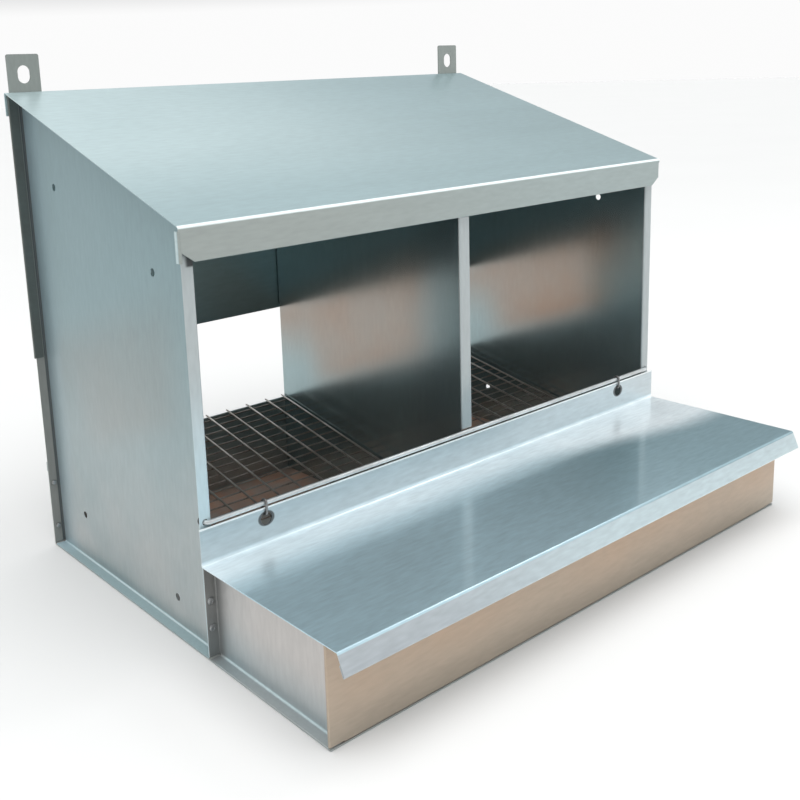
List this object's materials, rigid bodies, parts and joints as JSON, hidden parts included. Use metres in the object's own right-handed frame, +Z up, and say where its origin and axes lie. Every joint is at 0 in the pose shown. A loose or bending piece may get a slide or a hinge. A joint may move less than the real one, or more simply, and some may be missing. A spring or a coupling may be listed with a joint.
{
  "type": "chicken nesting box",
  "caption": "Galvanised sheet-steel nesting box for hens, with a sloping roof, wire mesh floors that roll eggs forward, and an egg tray under a lifting cover.",
  "frame": {"origin": "centre of the bounding box at the base", "axes": "+X to the right along the front, +Y to the rear, +Z up; the open front faces -Y"},
  "size_m": [0.6, 0.472, 0.485],
  "materials": {
    "galvanised_sheet": "bright hot-dip galvanised, faint spangle",
    "galvanised_wire": "galvanised wire",
    "hanger_plate": "dull galvanised plate",
    "rivet": "bare rivet",
    "cap": "black push-on cap"
  },
  "bodies": {
    "nest": {"base_panel": "galvanised_sheet", "left_side_panel": "galvanised_sheet", "right_side_panel": "galvanised_sheet", "divider_panel": "galvanised_sheet", "back_panel": "galvanised_sheet", "roof_panel": "galvanised_sheet", "tray_side_left": "galvanised_sheet", "tray_side_right": "galvanised_sheet", "tray_front_panel": "galvanised_sheet", "hinge_rod": "galvanised_wire", "floor_mesh_left": "galvanised_wire", "floor_mesh_right": "galvanised_wire", "hanger_left": "hanger_plate", "hanger_right": "hanger_plate", "tray_rivets": "rivet", "base_rivets": "rivet", "divider_rivets": "rivet", "hanger_rivets": "rivet", "rod_caps": "cap"},
    "cover": {"tray_cover": "galvanised_sheet", "hinge_ring_left": "galvanised_wire", "hinge_ring_right": "galvanised_wire"}
  },
  "joints": [
    {"name": "cover_hinge", "type": "hinge", "parent": "nest", "child": "cover", "pos_m": [0, -0.06051, 0.1175], "axis": [-1, 0, 0], "range_deg": [0, 100]}
  ]
}
